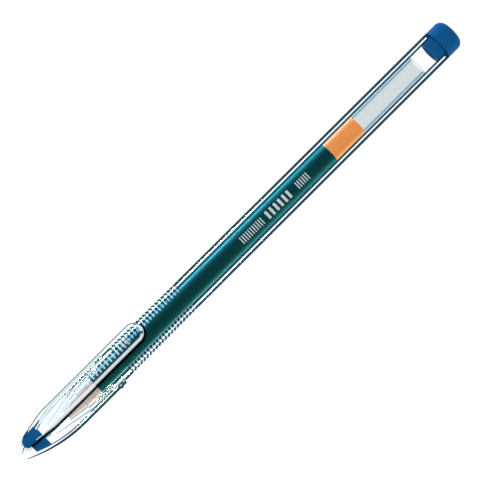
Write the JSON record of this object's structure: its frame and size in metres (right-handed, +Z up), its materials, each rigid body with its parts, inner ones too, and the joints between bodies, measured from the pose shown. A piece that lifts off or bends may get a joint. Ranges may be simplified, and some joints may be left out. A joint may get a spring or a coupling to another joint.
{
  "type": "gel pen",
  "caption": "Capped gel pen with a clear ringed barrel, a clear cap with a spring clip, a screw-in nose, an ink refill with grease follower, and a coloured tail plug.",
  "frame": {"origin": "middle of the resting pen's footprint, on the surface it lies on, which the cap's bead touches", "axes": "+X along the pen towards the cap's closed end, where the writing tip is; +Z up from the surface; the clip points to -Y and 20.5 degrees below the horizontal"},
  "size_m": [0.149, 0.0126, 0.0103],
  "materials": {
    "clear_plastic": "clear polished polystyrene",
    "blue_plastic": "glossy moulded plastic, petrol blue",
    "refill_plastic": "natural translucent polypropylene, slightly frosted",
    "gel_ink": "dark blue-green gel, wet",
    "follower_grease": "clear amber grease",
    "natural_plastic": "natural beige-grey plastic, satin",
    "steel": "turned stainless steel",
    "ball_steel": "polished hard metal ball"
  },
  "bodies": {
    "barrel": {"barrel": "clear_plastic", "tail_plug": "blue_plastic"},
    "refill": {"refill_tube": "refill_plastic", "ink": "gel_ink", "tip_holder": "natural_plastic", "writing_tip": "steel", "tip_spring": "steel"},
    "nose": {"nose_cone": "clear_plastic"},
    "ball": {"ball": "ball_steel"},
    "follower": {"ink_follower": "follower_grease"},
    "cap": {"cap_shell": "clear_plastic", "cap_seal": "blue_plastic"},
    "clip": {"clip_arm": "clear_plastic"}
  },
  "joints": [
    {"name": "refill_slide", "type": "slide", "parent": "barrel", "child": "refill", "axis": [1, 0, 0], "range_m": [0, 0.0045]},
    {"name": "nose_turn", "type": "hinge", "parent": "refill", "child": "nose", "pos_m": [0.0528, 0.00115, 0.00513], "axis": [1, 0, 0], "range_deg": [0, 1620]},
    {"name": "ball_roll", "type": "hinge", "parent": "refill", "child": "ball", "pos_m": [0.06885, 0.00115, 0.00513], "axis": [0, 1, 0], "continuous": true},
    {"name": "follower_slide", "type": "slide", "parent": "refill", "child": "follower", "axis": [1, 0, 0], "range_m": [0, 0.075], "deforming": ["ink"]},
    {"name": "cap_slide", "type": "slide", "parent": "refill", "child": "cap", "axis": [1, 0, 0], "range_m": [0, 0.04]},
    {"name": "clip_flex", "type": "hinge", "parent": "cap", "child": "clip", "pos_m": [0.0569, -0.00473, 0.00293], "axis": [0, -0.3502, 0.9367], "range_deg": [0, 4.5], "stiffness_Nm_per_rad": 1.2}
  ],
  "couplings": [
    {"joint": "nose_turn", "follows": "refill_slide", "rad_per_m": 6283.2}
  ]
}
